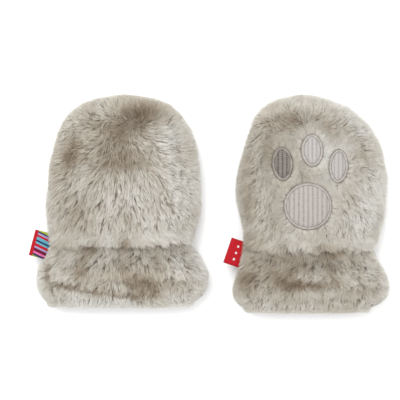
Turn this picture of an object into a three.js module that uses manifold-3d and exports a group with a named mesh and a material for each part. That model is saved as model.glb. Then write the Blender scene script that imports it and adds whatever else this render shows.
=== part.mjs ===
// A pair of plush baby mittens, laid flat side by side with the fingertips towards +Y. Millimetres, +Z up.
// The left mitten shows the back of the hand, the right one the palm with its embroidered paw.
// Each mitten is hollow and open at the hem. It has an upper and a lower mitt panel, which meet in the side seam
// and round the fingertips, and an upper and a lower cuff panel, which join them at the gathered wrist.
// A wall is the fur fabric from its backing to the tips of the pile.

import * as THREE from "three";
import { mergeVertices } from "three/addons/utils/BufferGeometryUtils.js";
import Module from "manifold-3d";

const SEAM_HEIGHT = 12.5; // the side seam above the table
const SEAM_GAP = 0.3; // between two pieces that are sewn together
const MIDDLES_APART = 112.2; // from one mitten's middle line to the other's
const HEM_STEP = 3.3; // the right mitten's hem lies this much nearer
const PAD_GAP = 0.4; // from the pile under an embroidered pad to the pad
const PAD_THICK = 1.3;
const HIGH_ABOVE = 100; // where the measuring of a pad's place starts
const PAD_DOME = 0.5; // how much higher a pad is in its middle
const PAD_HOLLOW = 3.4; // how far the stitching pulls the pile down
const PAD_HOLLOW_REACH = 7; // from a pad's edge to where the pile is at full height
const SIDE_RISE = 1; // how far the hem's fold draws back at the side seams
const SIDE_RISE_REACH = 9; // up from the hem
const RIBBON = { width: 15.8, root: 4.2, ply: 0.9, between: 0.8, clearance: 0.3 };

const FUR = new THREE.MeshStandardMaterial({ color: 0xbbb3a5, roughness: 0.9, metalness: 0 });
const FUR_LOWER = new THREE.MeshStandardMaterial({ color: 0xc9c4b8, roughness: 0.9, metalness: 0 });
const CUFF_FUR = new THREE.MeshStandardMaterial({ color: 0xa69d90, roughness: 0.9, metalness: 0 });
const PALE_THREAD = new THREE.MeshStandardMaterial({ color: 0xc8bdb6, roughness: 0.6, metalness: 0 });
const DARK_THREAD = new THREE.MeshStandardMaterial({ color: 0x8a7e77, roughness: 0.6, metalness: 0 });
const STRIPED_RIBBON = new THREE.MeshStandardMaterial({ color: 0xb03a6e, roughness: 0.6, metalness: 0 });
const RED_RIBBON = new THREE.MeshStandardMaterial({ color: 0xc81e2d, roughness: 0.6, metalness: 0 });

// Rows of numbers under named columns, as a list of records.
function table(columns, rows) {
  return rows.map((row) => Object.fromEntries(columns.map((name, i) => [name, row[i]])));
}

// Sections from the hem to the fingertips. up is above the hem's fold, left and right are from the middle line to
// the tips of the pile, loft is how far the upper side rises above the seam, crown is added in its middle, wall is
// the fabric's thickness, and seamLeft and seamRight are how many degrees up the rounded side the seam lies.
const SECTION = ["up", "left", "right", "loft", "crown", "wall", "seamLeft", "seamRight"];

const LEFT_SECTIONS = table(SECTION, [
  [4.0, -47.4, 43.0, 9.5, 0.8, 8.0, 40, 8],
  [6.6, -49.6, 46.2, 11.2, 1.0, 8.0, 42, 8],
  [9.6, -51.3, 48.9, 10.9, 1.2, 8.0, 44, 8],
  [13.2, -52.4, 50.2, 10.9, 1.6, 7.6, 48, 8],
  [17.4, -52.8, 51.0, 11.2, 2.2, 8.0, 50, 8],
  [23.4, -52.2, 50.4, 12.6, 2.8, 8.0, 50, 8],
  [28.4, -49.2, 47.9, 12.4, 2.4, 8.0, 38, 8],
  [33.4, -46.2, 45.0, 10.6, 1.4, 7.2, 16, 8],
  [38.4, -45.4, 41.7, 8.0, 0.8, 5.6, 6, 8],
  [43.8, -45.7, 42.9, 11.6, 2.0, 7.4, 4, 8],
  [52.2, -46.4, 45.6, 13.0, 3.6, 8.0, 4, 10],
  [61.8, -47.4, 46.8, 13.2, 4.6, 8.0, 4, 12],
  [73.8, -45.9, 46.6, 13.2, 5.0, 8.0, 4, 12],
  [84.6, -45.4, 45.9, 13.2, 5.0, 8.0, 4, 12],
  [95.4, -42.8, 44.4, 13.0, 4.6, 8.0, 4, 12],
  [106.2, -39.7, 41.2, 12.8, 4.0, 8.0, 4, 10],
  [113.4, -36.2, 36.8, 12.6, 3.4, 8.0, 2, 6],
  [119.4, -30.9, 31.8, 12.6, 3.0, 8.0, 0, 4],
  [123.8, -23.4, 25.4, 12.6, 2.6, 8.0, 0, 0],
  [127.2, -12.9, 14.2, 12.6, 2.4, 8.0, 0, 0],
]);
const LEFT_TIP = { x: 0, up: 128.7 };

const RIGHT_SECTIONS = table(SECTION, [
  [4.0, -41.6, 37.0, 9.5, 0.8, 8.0, 8, 36],
  [7.0, -44.9, 42.4, 11.2, 1.0, 8.0, 8, 40],
  [10.5, -47.0, 45.9, 10.9, 1.2, 8.0, 8, 44],
  [15.8, -47.3, 47.4, 9.6, 1.4, 7.2, 8, 50],
  [19.6, -46.3, 46.9, 11.2, 2.0, 8.0, 8, 52],
  [23.4, -45.0, 46.0, 12.4, 2.6, 8.0, 8, 52],
  [28.2, -44.0, 43.4, 12.4, 2.2, 8.0, 8, 44],
  [33.0, -42.6, 39.9, 10.6, 1.2, 7.2, 8, 30],
  [38.7, -41.7, 38.4, 8.0, 0.8, 5.6, 6, 14],
  [43.8, -40.9, 40.5, 11.6, 2.0, 7.4, 4, 12],
  [50.7, -41.2, 42.6, 13.0, 3.4, 8.0, 4, 16],
  [59.1, -43.2, 44.8, 13.2, 4.4, 8.0, 4, 20],
  [69.9, -45.4, 45.5, 13.2, 4.8, 8.0, 4, 22],
  [80.7, -45.0, 46.1, 13.2, 4.8, 8.0, 4, 22],
  [91.5, -42.7, 44.5, 13.2, 4.6, 8.0, 4, 20],
  [102.3, -39.7, 41.8, 13.0, 4.2, 8.0, 4, 18],
  [111.3, -36.8, 36.7, 12.8, 3.6, 8.0, 2, 12],
  [118.5, -34.0, 30.0, 12.6, 3.2, 8.0, 0, 6],
  [124.2, -28.9, 23.0, 12.6, 2.8, 8.0, 0, 4],
  [128.2, -22.2, 13.2, 12.6, 2.6, 8.0, 0, 0],
  [131.0, -13.4, 4.2, 12.6, 2.4, 8.0, 0, 0],
]);
const RIGHT_TIP = { x: -4.9, up: 132.0 };
const WRIST_ROW = 8; // the gathered section, in both tables

// Folds of the upper side, each along a line from x, up to toX, toUp: wide is how far its slopes reach, and deep
// is below the pile's own height. The first rows of each table are the gathers that cross the wrist.
const FOLD = ["x", "up", "toX", "toUp", "wide", "deep"];

const LEFT_FOLDS = table(FOLD, [
  [-36, 46, -34, 30, 3.2, 1.1],
  [-26, 42, -25, 33, 3.0, 0.8],
  [-17, 45, -20, 29, 3.2, 1.5],
  [-7, 42, -6, 34, 2.8, 0.7],
  [3, 47, 1, 30, 3.2, 1.3],
  [13, 42, 14, 34, 2.8, 0.8],
  [22, 44, 24, 28, 3.2, 1.2],
  [32, 43, 34, 33, 3.0, 0.9],
  [-20, 33, -27, 20, 4.6, 1.6],
  [12, 23, 19, 13, 5.0, 1.7],
  [-44, 16.5, -20, 11.5, 2.8, 1.7],
  [-20, 11.5, 3, 7.6, 2.8, 1.7],
  [3, 7.6, 26, 7.0, 2.8, 1.1],
  [-34, 61, -31, 51, 5.0, 1.2],
  [-27, 101, -34, 87, 5.0, 1.3],
  [3, 112, 11, 117, 5.0, 1.4],
  [-4, 88, 12, 84, 7.0, 0.9],
]);

const RIGHT_FOLDS = table(FOLD, [
  [-34, 45, -36, 31, 3.2, 1.0],
  [-24, 43, -23, 32, 3.0, 1.2],
  [-14, 46, -16, 29, 3.2, 1.4],
  [-4, 43, -5, 30, 3.0, 1.0],
  [7, 46, 6, 31, 3.2, 1.6],
  [17, 43, 19, 33, 3.0, 0.8],
  [27, 45, 30, 31, 3.2, 1.2],
  [-42, 21, -28, 19, 4.6, 1.3],
  [-8, 19, 22, 17, 4.6, 1.5],
  [26, 108, 36, 92, 5.0, 1.1],
  [-36, 74, -33, 60, 5.0, 0.9],
]);

// The embroidered paw: three oval toes and a round pad, with their half widths.
const PADS = table(["name", "x", "up", "halfWide", "halfLong", "turn", "rings", "spokes", "thread"], [
  ["right_pad_heel", -2.3, 64.7, 14.4, 14.0, 0, 4, 28, PALE_THREAD],
  ["right_pad_toe_1", -17.5, 90.0, 6.3, 10.1, 3, 3, 20, DARK_THREAD],
  ["right_pad_toe_2", 0.2, 98.0, 6.6, 9.7, 1, 3, 20, PALE_THREAD],
  ["right_pad_toe_3", 15.9, 88.6, 5.9, 10.1, -3, 3, 20, PALE_THREAD],
]);

// A smooth curve through a list of numbers, read at a row number between them.
function smooth(values, at) {
  const i = THREE.MathUtils.clamp(Math.floor(at), 0, values.length - 2);
  const f = at - i;
  const [a, b, c, d] = [-1, 0, 1, 2].map((k) => values[THREE.MathUtils.clamp(i + k, 0, values.length - 1)]);
  return b + 0.5 * f * (c - a + f * (2 * a - 5 * b + 4 * c - d + f * (3 * (b - c) + d - a)));
}

// How full a section is at a share of its radius from the fingertip: a quarter circle.
function closing(share) {
  const open = 1 - THREE.MathUtils.clamp(share, 0, 1);
  return Math.sqrt(1 - open * open);
}

// The pull of a fold on a point: its depth, fading over its width, with rounded ends.
function foldAt(fold, x, up) {
  const along = new THREE.Vector2(fold.toX - fold.x, fold.toUp - fold.up);
  const from = new THREE.Vector2(x - fold.x, up - fold.up);
  const share = THREE.MathUtils.clamp(from.dot(along) / along.lengthSq(), 0, 1);
  const away = from.addScaledVector(along, -share).length();
  return fold.deep * Math.exp(-((away / fold.wide) ** 2));
}

// How far a point is from a pad's edge, roughly in millimetres, and negative inside it.
function fromPad(pad, x, up) {
  const turn = THREE.MathUtils.degToRad(pad.turn);
  const p = new THREE.Vector2(x - pad.x, up - pad.up).rotateAround(new THREE.Vector2(), -turn);
  const share = Math.hypot(p.x / pad.halfWide, p.y / pad.halfLong);
  return (share - 1) * Math.min(pad.halfWide, pad.halfLong);
}

// One mitten's form: rings at any row and at any depth below the tips of the pile.
class MittenForm {
  constructor(sections, tip, folds, pads) {
    this.sections = sections;
    this.tip = tip;
    this.folds = folds;
    this.pads = pads;
    this.tipRow = sections.length;
    const back = [...sections].reverse();
    this.outlineX = [...sections.map((s) => s.left), tip.x, ...back.map((s) => s.right)];
    this.outlineUp = [...sections.map((s) => s.up), tip.up, ...back.map((s) => s.up)];
  }

  value(name, row) {
    return smooth(this.sections.map((s) => s[name]), Math.min(row, this.tipRow - 1));
  }

  // A point of the outline, which runs up the left side, over the fingertips and down the right side.
  edge(at, depth) {
    const step = 0.05;
    const x = smooth(this.outlineX, at + step) - smooth(this.outlineX, at - step);
    const up = smooth(this.outlineUp, at + step) - smooth(this.outlineUp, at - step);
    const inward = new THREE.Vector2(up, Math.min(-x, 0)).normalize();
    const onEdge = new THREE.Vector2(smooth(this.outlineX, at), smooth(this.outlineUp, at));
    return onEdge.addScaledVector(inward, depth);
  }

  ring(row, depth) {
    const left = this.edge(row, depth);
    const right = this.edge(2 * this.tipRow - row, depth);
    const toTip = this.tip.up - depth - (left.y + right.y) / 2;
    const above = this.value("loft", row) - depth;
    const below = SEAM_HEIGHT - depth;
    const rise = SIDE_RISE * Math.exp(-((left.y / SIDE_RISE_REACH) ** 2));
    return {
      left,
      right,
      rise,
      above: above * closing(toTip / above),
      below: below * closing(toTip / below),
      crown: this.value("crown", row) * closing(toTip / above),
      shift: 0,
      seams: [this.value("seamLeft", row), this.value("seamRight", row)],
    };
  }

  // A ring on the hem's rounded fold: turn 0 is outside, 180 inside.
  foldRing(turn) {
    const radius = this.value("wall", 0) / 2;
    const angle = THREE.MathUtils.degToRad(turn);
    return { ...this.ring(0, radius * (1 - Math.cos(angle))), shift: -radius * Math.sin(angle) };
  }

  // How far folds and pads pull the pile down at a point of the upper side.
  relief(x, up) {
    const folds = this.folds.reduce((sum, fold) => sum + foldAt(fold, x, up), 0);
    const nearest = Math.min(...this.pads.map((pad) => fromPad(pad, x, up) / PAD_HOLLOW_REACH), 1);
    const share = 1 - THREE.MathUtils.smoothstep(nearest, 0.12, 1);
    return folds * (1 - share) + PAD_HOLLOW * share;
  }
}

// The middle of a ring, its half width, and the half width of its flat part between the rounded sides.
function measures(ring) {
  const half = (ring.right.x - ring.left.x) / 2;
  const middle = (ring.right.x + ring.left.x) / 2;
  return { half, middle, flat: half - ring.above, flatBelow: half - ring.below };
}

function placed(ring, x, z) {
  const { half, middle } = measures(ring);
  const share = half > 0 ? x / half : 0;
  const y = THREE.MathUtils.lerp(ring.left.y, ring.right.y, (share + 1) / 2);
  return new THREE.Vector3(middle + x, y + ring.rise * Math.abs(share) ** 3 + ring.shift, z);
}

// A point of a ring's upper side and rounded sides: across is -1 to 1 over the top, 2 at half height on either
// side, and 3 where the side meets the underside.
function ringPoint(ring, across) {
  const { flat, flatBelow } = measures(ring);
  const side = Math.sign(across);
  const reach = Math.abs(across);
  if (reach <= 1) {
    const crown = ring.crown * 0.5 * (1 + Math.cos(Math.PI * across));
    return placed(ring, across * flat, SEAM_HEIGHT + ring.above + crown);
  }
  const angle = ((2 - reach) * Math.PI) / 2;
  const [radius, straight] = reach < 2 ? [ring.above, flat] : [ring.below, flatBelow];
  return placed(ring, side * (straight + radius * Math.cos(angle)), SEAM_HEIGHT + radius * Math.sin(angle));
}

function steps(from, to, count) {
  return Array.from({ length: count + 1 }, (_, i) => THREE.MathUtils.lerp(from, to, i / count));
}

// A panel's points along one ring, from its left seam over the top to its right seam.
function upperLine(form, ring, arcs, flats, outside) {
  const [left, right] = ring.seams.map((degrees) => 2 - degrees / 90);
  const over = steps(-1, 1, flats).slice(1);
  const across = [...steps(-left, -1, arcs), ...over, ...steps(1, right, arcs).slice(1)];
  return across.map((q) => {
    const p = ringPoint(ring, q);
    const share = Math.abs(q) <= 1 ? 1 : Math.sin(((2 - Math.abs(q)) * Math.PI) / 2);
    const fullness = ring.above / form.value("loft", WRIST_ROW + 3);
    if (outside) p.z -= form.relief(p.x, p.y) * share * Math.min(1, fullness);
    return p;
  });
}

// The same under the mitten, from the right seam to the left one.
function lowerLine(ring, arcs, flats) {
  const [left, right] = ring.seams.map((degrees) => 2 - degrees / 90);
  const bottom = steps(1, -1, flats)
    .slice(1, -1)
    .map((share) => placed(ring, share * measures(ring).flatBelow, SEAM_HEIGHT - ring.below));
  const sideDown = steps(right, 3, arcs).map((q) => ringPoint(ring, q));
  const sideUp = steps(-3, -left, arcs).map((q) => ringPoint(ring, q));
  return [...sideDown, ...bottom, ...sideUp];
}

// Half a seam's gap at a panel's side seams and at its wrist edge. At the fingertip the seam lies flat, so there
// the gap is up or down.
function parted(grid, upwards, wristRow, wristSide) {
  const half = SEAM_GAP / 2;
  const pull = (from, to) => {
    const way = to.clone().sub(from);
    if (way.length() < 1e-6) way.set(0, 0, upwards);
    return from.clone().addScaledVector(way.normalize(), half);
  };
  const made = grid.map((line) => {
    const ends = [pull(line[0], line[1]), pull(line.at(-1), line.at(-2))];
    return [ends[0], ...line.slice(1, -1), ends[1]];
  });
  const isTip = (line) => line[0].distanceTo(line.at(-1)) < 2 * half;
  const tips = made.map((line, j) => (isTip(line) ? line.map(() => pull(grid[j][0], grid[j][0])) : line));
  const wrist = tips.at(wristRow).map((p) => new THREE.Vector3(p.x, p.y + wristSide * half, p.z));
  return tips.map((line, j) => (j === (wristRow + tips.length) % tips.length ? wrist : line));
}

// A closed mesh from triangles of points. Points that coincide become one, and a triangle without area is dropped.
function meshOf(triangles) {
  const numbers = new Map();
  const points = [];
  const index = [];
  const numberOf = (p) => {
    const key = [p.x, p.y, p.z].map((v) => Math.round(v * 1e4)).join();
    if (!numbers.has(key)) {
      numbers.set(key, numbers.size);
      points.push(p.x, p.y, p.z);
    }
    return numbers.get(key);
  };
  for (const corners of triangles) {
    const [a, b, c] = corners.map(numberOf);
    if (a !== b && b !== c && c !== a) index.push(a, b, c);
  }
  const geometry = new THREE.BufferGeometry();
  geometry.setAttribute("position", new THREE.Float32BufferAttribute(points, 3));
  geometry.setIndex(index);
  return geometry;
}

function gridTriangles(grid, flipped) {
  const triangles = [];
  for (let j = 0; j + 1 < grid.length; j++) {
    for (let i = 0; i + 1 < grid[j].length; i++) {
      const [a, b, c, d] = [grid[j][i], grid[j][i + 1], grid[j + 1][i + 1], grid[j + 1][i]];
      triangles.push([a, b, c], [a, c, d]);
    }
  }
  return flipped ? triangles.map(([a, b, c]) => [a, c, b]) : triangles;
}

// The strip between an edge of the outer grid and the same edge of the inner one, which may have fewer points.
// It comes out the same from either end, so that two pieces meet evenly along a seam.
function edgeTriangles(outer, inner) {
  const triangles = [];
  let [o, i] = [0, 0];
  while (o < outer.length - 1 || i < inner.length - 1) {
    const outerNext = (o + 0.5) / (outer.length - 1);
    const innerNext = (i + 0.5) / (inner.length - 1);
    if (outerNext <= innerNext) {
      triangles.push([outer[o + 1], outer[o], inner[i]]);
      o += 1;
    } else {
      triangles.push([outer[o], inner[i], inner[i + 1]]);
      i += 1;
    }
  }
  return triangles;
}

function edgesOf(grid) {
  const column = (i) => grid.map((line) => line.at(i));
  return [grid[0], column(-1), [...grid.at(-1)].reverse(), column(0).reverse()];
}

// A wall between an outer and an inner grid of points, closed round its four edges.
function wallGeometry(outer, inner) {
  const innerEdges = edgesOf(inner);
  const strips = edgesOf(outer).flatMap((edge, k) => edgeTriangles(edge, innerEdges[k]));
  return meshOf([...gridTriangles(outer, false), ...gridTriangles(inner, true), ...strips]);
}

// Points per panel: rows along it, arcs on each rounded side and flats over the top, outside and inside.
const DETAIL = {
  upper: { arcs: 4, flats: 26, innerArcs: 2, innerFlats: 12 },
  lower: { arcs: 4, flats: 8, innerArcs: 3, innerFlats: 8 },
  cuff: { rows: 16, innerRows: 6 },
  mitt: { innerRows: 10 },
};

function panelGrids(form, outerRings, innerRings, isUpper, wristRow, wristSide) {
  const d = isUpper ? DETAIL.upper : DETAIL.lower;
  const line = (ring, arcs, flats, outside) => {
    return isUpper ? upperLine(form, ring, arcs, flats, outside) : lowerLine(ring, arcs, flats);
  };
  const outer = outerRings.map((ring) => line(ring, d.arcs, d.flats, true));
  const inner = innerRings.map((ring) => line(ring, d.innerArcs, d.innerFlats, false));
  const upwards = isUpper ? 1 : -1;
  return [parted(outer, upwards, wristRow, wristSide), parted(inner, upwards, wristRow, wristSide)];
}

function mittPanel(form, isUpper, rows) {
  const innerRows = steps(WRIST_ROW, form.tipRow, DETAIL.mitt.innerRows);
  const outerRings = steps(WRIST_ROW, form.tipRow, rows).map((row) => form.ring(row, 0));
  const innerRings = innerRows.map((row) => form.ring(row, form.value("wall", row)));
  return wallGeometry(...panelGrids(form, outerRings, innerRings, isUpper, 0, 1));
}

function cuffPanel(form, isUpper) {
  const { rows, innerRows } = DETAIL.cuff;
  const outerRings = [
    ...[80, 50, 22].map((turn) => form.foldRing(turn)),
    ...steps(0, WRIST_ROW, rows).map((row) => form.ring(row, 0)),
  ];
  const innerRings = [
    ...[100, 135].map((turn) => form.foldRing(turn)),
    ...steps(0, WRIST_ROW, innerRows).map((row) => form.ring(row, form.value("wall", row))),
  ];
  return wallGeometry(...panelGrids(form, outerRings, innerRings, isUpper, -1, -1));
}

// An embroidered pad: a domed disc on the pile that its stitches hold down, made from the panel's own surface.
function padGeometry(pad, panel) {
  const surface = new THREE.Mesh(panel, FUR);
  const down = new THREE.Vector3(0, 0, -1);
  const heightAt = (x, y) => {
    const ray = new THREE.Raycaster(new THREE.Vector3(x, y, HIGH_ABOVE), down);
    return ray.intersectObject(surface)[0].point.z;
  };
  const turn = THREE.MathUtils.degToRad(pad.turn);
  const point = (ring, spoke, lift) => {
    const share = ring / pad.rings;
    const angle = (2 * Math.PI * spoke) / pad.spokes;
    const flat = new THREE.Vector2(pad.halfWide * Math.cos(angle), pad.halfLong * Math.sin(angle));
    flat.multiplyScalar(share).rotateAround(new THREE.Vector2(), turn).add(new THREE.Vector2(pad.x, pad.up));
    const dome = lift > 0 ? PAD_DOME * (1 - share * share) : 0;
    return new THREE.Vector3(flat.x, flat.y, heightAt(flat.x, flat.y) + PAD_GAP + lift + dome);
  };
  const circle = (ring, lift) => steps(0, pad.spokes, pad.spokes).map((spoke) => point(ring, spoke, lift));
  const disc = (lift) => steps(0, pad.rings, pad.rings).map((ring) => circle(ring, lift));
  const [top, under] = [disc(PAD_THICK), disc(0)];
  const rim = gridTriangles([under.at(-1), top.at(-1)], false);
  return meshOf([...gridTriangles(top, true), ...gridTriangles(under, false), ...rim]);
}

// A woven ribbon folded in two, with its fold at -X and its cut ends at +X, where the seam holds them. It is
// made larger all round by grow.
function labelGeometry(out, grow) {
  const half = RIBBON.between / 2 + RIBBON.ply + grow;
  const inner = RIBBON.between / 2;
  const long = out + RIBBON.root;
  const shape = new THREE.Shape();
  shape.moveTo(long + grow, half);
  shape.lineTo(half - grow, half);
  shape.absarc(half - grow, 0, half, Math.PI / 2, (3 * Math.PI) / 2, false);
  shape.lineTo(long + grow, -half);
  if (grow === 0) {
    shape.lineTo(long, -inner);
    shape.lineTo(half, -inner);
    shape.absarc(half, 0, inner, (3 * Math.PI) / 2, Math.PI / 2, true);
    shape.lineTo(long, inner);
  }
  shape.closePath();
  const width = RIBBON.width + 2 * grow;
  const geometry = new THREE.ExtrudeGeometry(shape, { depth: width, bevelEnabled: false, curveSegments: 6 });
  geometry.rotateX(-Math.PI / 2);
  return geometry.translate(-long, -width / 2, 0);
}

const wasm = await Module();
wasm.setup();

function solidFrom(geometry, matrix) {
  const bare = geometry.clone();
  bare.deleteAttribute("normal");
  bare.deleteAttribute("uv");
  if (matrix) bare.applyMatrix4(matrix);
  const merged = mergeVertices(bare, 1e-4);
  return new wasm.Manifold(
    new wasm.Mesh({
      numProp: 3,
      vertProperties: new Float32Array(merged.attributes.position.array),
      triVerts: new Uint32Array(merged.index.array),
    }),
  );
}

function geometryFrom(solid) {
  const { numProp, numVert, vertProperties, triVerts } = solid.getMesh();
  const points = [];
  for (let i = 0; i < numVert; i++) points.push(...vertProperties.subarray(i * numProp, i * numProp + 3));
  const geometry = new THREE.BufferGeometry();
  geometry.setAttribute("position", new THREE.Float32BufferAttribute(points, 3));
  geometry.setIndex([...triVerts]);
  return geometry;
}

// The label lies in the side seam at the wrist, turned by tilt, with its root under the pile.
function labelPlace(form, label) {
  const rooted = form.edge(label.row, 0);
  const turn = new THREE.Matrix4().makeRotationZ(THREE.MathUtils.degToRad(-label.tilt));
  return new THREE.Matrix4().makeTranslation(rooted.x + RIBBON.root, rooted.y, SEAM_HEIGHT).multiply(turn);
}

function addPiece(group, name, geometry, material) {
  geometry.computeVertexNormals();
  const mesh = new THREE.Mesh(geometry, material);
  mesh.name = name;
  group.add(mesh);
}

function mittenGroup({ side, form, upperName, lowerName, rows, label, x, y }) {
  const group = new THREE.Group();
  const place = labelPlace(form, label);
  const pocket = solidFrom(labelGeometry(label.out, RIBBON.clearance), place);
  const panels = [
    [`${side}_${upperName}_panel`, mittPanel(form, true, rows), FUR],
    [`${side}_${lowerName}_panel`, mittPanel(form, false, rows), FUR_LOWER],
    [`${side}_cuff_${upperName}`, cuffPanel(form, true), CUFF_FUR],
    [`${side}_cuff_${lowerName}`, cuffPanel(form, false), FUR_LOWER],
  ];
  for (const [name, geometry, material] of panels) {
    addPiece(group, name, geometryFrom(solidFrom(geometry).subtract(pocket)), material);
  }
  addPiece(group, `${side}_label`, labelGeometry(label.out, 0).applyMatrix4(place), label.ribbon);
  for (const pad of form.pads) {
    addPiece(group, pad.name, padGeometry(pad, panels[0][1]), pad.thread);
  }
  group.position.set(x, y, 0);
  return group;
}

const pair = new THREE.Group();
pair.add(
  mittenGroup({
    side: "left",
    form: new MittenForm(LEFT_SECTIONS, LEFT_TIP, LEFT_FOLDS, []),
    upperName: "back",
    lowerName: "palm",
    rows: 20,
    label: { row: WRIST_ROW - 0.45, tilt: 15, out: 10, ribbon: STRIPED_RIBBON },
    x: -MIDDLES_APART / 2,
    y: HEM_STEP,
  }),
  mittenGroup({
    side: "right",
    form: new MittenForm(RIGHT_SECTIONS, RIGHT_TIP, RIGHT_FOLDS, PADS),
    upperName: "palm",
    lowerName: "back",
    rows: 24,
    label: { row: WRIST_ROW - 0.75, tilt: 19, out: 8.4, ribbon: RED_RIBBON },
    x: MIDDLES_APART / 2,
    y: 0,
  }),
);

// The origin is on the table, under the middle of the pair.
const bounds = new THREE.Box3().setFromObject(pair);
const centre = bounds.getCenter(new THREE.Vector3());
pair.position.set(-centre.x, -centre.y, -bounds.min.z);

export default pair;
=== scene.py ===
"""A pair of plush baby mittens, laid flat and seen from straight above.

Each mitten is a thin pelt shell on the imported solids' form, with its pile as combed and clumped strands. The left
one shows the back of the hand and the right one the palm with its embroidered paw. Forms are worked out in
millimetres in each mitten's own frame: x from its middle line, up from the hem's fold, z from the table.
"""

import bpy
import numpy as np
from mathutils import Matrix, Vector


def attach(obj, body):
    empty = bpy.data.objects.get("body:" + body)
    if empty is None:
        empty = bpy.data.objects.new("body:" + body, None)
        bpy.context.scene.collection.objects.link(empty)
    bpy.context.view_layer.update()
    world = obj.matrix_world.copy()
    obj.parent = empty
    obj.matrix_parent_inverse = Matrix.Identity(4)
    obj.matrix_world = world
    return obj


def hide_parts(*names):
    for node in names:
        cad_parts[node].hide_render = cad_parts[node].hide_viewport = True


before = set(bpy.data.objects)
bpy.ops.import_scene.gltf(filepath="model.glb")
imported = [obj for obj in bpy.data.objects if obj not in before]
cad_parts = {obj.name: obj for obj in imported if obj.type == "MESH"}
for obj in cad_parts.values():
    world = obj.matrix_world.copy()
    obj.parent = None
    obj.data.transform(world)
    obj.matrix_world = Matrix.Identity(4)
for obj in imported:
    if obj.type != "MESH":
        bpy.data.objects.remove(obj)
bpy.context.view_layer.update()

MM = 0.001
SEAM_HEIGHT = 12.5  # the side seam above the table
SIDE_RISE, SIDE_RISE_REACH = 1.0, 9.0  # how far the hem draws back at the sides, and how far up
PAD_HOLLOW, PAD_HOLLOW_REACH = 3.4, 7.0  # how deep stitching pulls the pile, and how far around
WRIST_ROW = 8  # the gathered section, in both tables
PILE = 3.6  # from the pelt's dense undercoat to the tips of the fur
FUZZ = 1.0  # how far the longest clumps stand out of the sides
MIDDLE_TONE = 0.67  # the pile's own, from 0 dark to 1 pale
FURRED_INSIDE = 2.2  # rows inside the mouth that still have fur on them


def table(columns, rows):
    """Rows of numbers under named columns, as one array for each column."""
    return dict(zip(columns.split(), np.array(rows, float).T))


# Sections from the hem to the fingertips: the outline's two sides, the upper side's rise above the seam, what its
# middle adds to that, and the fabric's thickness.
SECTION = "up left right loft crown wall"
LEFT_SECTIONS = table(SECTION, [
    [4, -47.4, 43, 9.5, 0.8, 8],
    [6.6, -49.6, 46.2, 11.2, 1, 8],
    [9.6, -51.3, 48.9, 10.9, 1.2, 8],
    [13.2, -52.4, 50.2, 10.9, 1.6, 7.6],
    [17.4, -52.8, 51, 11.2, 2.2, 8],
    [23.4, -52.2, 50.4, 12.6, 2.8, 8],
    [28.4, -49.2, 47.9, 12.4, 2.4, 8],
    [33.4, -46.2, 45, 10.6, 1.4, 7.2],
    [38.4, -45.4, 41.7, 8, 0.8, 5.6],
    [43.8, -45.7, 42.9, 11.6, 2, 7.4],
    [52.2, -46.4, 45.6, 13, 3.6, 8],
    [61.8, -47.4, 46.8, 13.2, 4.6, 8],
    [73.8, -45.9, 46.6, 13.2, 5, 8],
    [84.6, -45.4, 45.9, 13.2, 5, 8],
    [95.4, -42.8, 44.4, 13, 4.6, 8],
    [106.2, -39.7, 41.2, 12.8, 4, 8],
    [113.4, -36.2, 36.8, 12.6, 3.4, 8],
    [119.4, -30.9, 31.8, 12.6, 3, 8],
    [123.8, -23.4, 25.4, 12.6, 2.6, 8],
    [127.2, -12.9, 14.2, 12.6, 2.4, 8],
])
RIGHT_SECTIONS = table(SECTION, [
    [4, -41.6, 37, 9.5, 0.8, 8],
    [7, -44.9, 42.4, 11.2, 1, 8],
    [10.5, -47, 45.9, 10.9, 1.2, 8],
    [15.8, -47.3, 47.4, 9.6, 1.4, 7.2],
    [19.6, -46.3, 46.9, 11.2, 2, 8],
    [23.4, -45, 46, 12.4, 2.6, 8],
    [28.2, -44, 43.4, 12.4, 2.2, 8],
    [33, -42.6, 39.9, 10.6, 1.2, 7.2],
    [38.7, -41.7, 38.4, 8, 0.8, 5.6],
    [43.8, -40.9, 40.5, 11.6, 2, 7.4],
    [50.7, -41.2, 42.6, 13, 3.4, 8],
    [59.1, -43.2, 44.8, 13.2, 4.4, 8],
    [69.9, -45.4, 45.5, 13.2, 4.8, 8],
    [80.7, -45, 46.1, 13.2, 4.8, 8],
    [91.5, -42.7, 44.5, 13.2, 4.6, 8],
    [102.3, -39.7, 41.8, 13, 4.2, 8],
    [111.3, -36.8, 36.7, 12.8, 3.6, 8],
    [118.5, -34, 30, 12.6, 3.2, 8],
    [124.2, -28.9, 23, 12.6, 2.8, 8],
    [128.2, -22.2, 13.2, 12.6, 2.6, 8],
    [131, -13.4, 4.2, 12.6, 2.4, 8],
])

# Folds of the upper side, each along a line, with the gathers across the wrist first. The left table's last row is
# a narrow crease beside the cuff's edge.
FOLD = "x up to_x to_up wide deep"
LEFT_FOLDS = table(FOLD, [
    [-36, 46, -34, 30, 3.2, 1.1],
    [-26, 42, -25, 33, 3, 0.8],
    [-17, 45, -20, 29, 3.2, 1.5],
    [-7, 42, -6, 34, 2.8, 0.7],
    [3, 47, 1, 30, 3.2, 1.3],
    [13, 42, 14, 34, 2.8, 0.8],
    [22, 44, 24, 28, 3.2, 1.2],
    [32, 43, 34, 33, 3, 0.9],
    [-20, 33, -27, 20, 4.6, 1.6],
    [12, 23, 19, 13, 5, 1.7],
    [-44, 16.5, -20, 11.5, 2.8, 1.7],
    [-20, 11.5, 3, 7.6, 2.8, 1.7],
    [3, 7.6, 26, 7, 2.8, 1.1],
    [-34, 61, -31, 51, 5, 1.2],
    [-27, 101, -34, 87, 5, 1.3],
    [3, 112, 11, 117, 5, 1.4],
    [-4, 88, 12, 84, 7, 0.9],
    [-46.5, 30, -45, 15, 2, 1.4],
])
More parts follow.
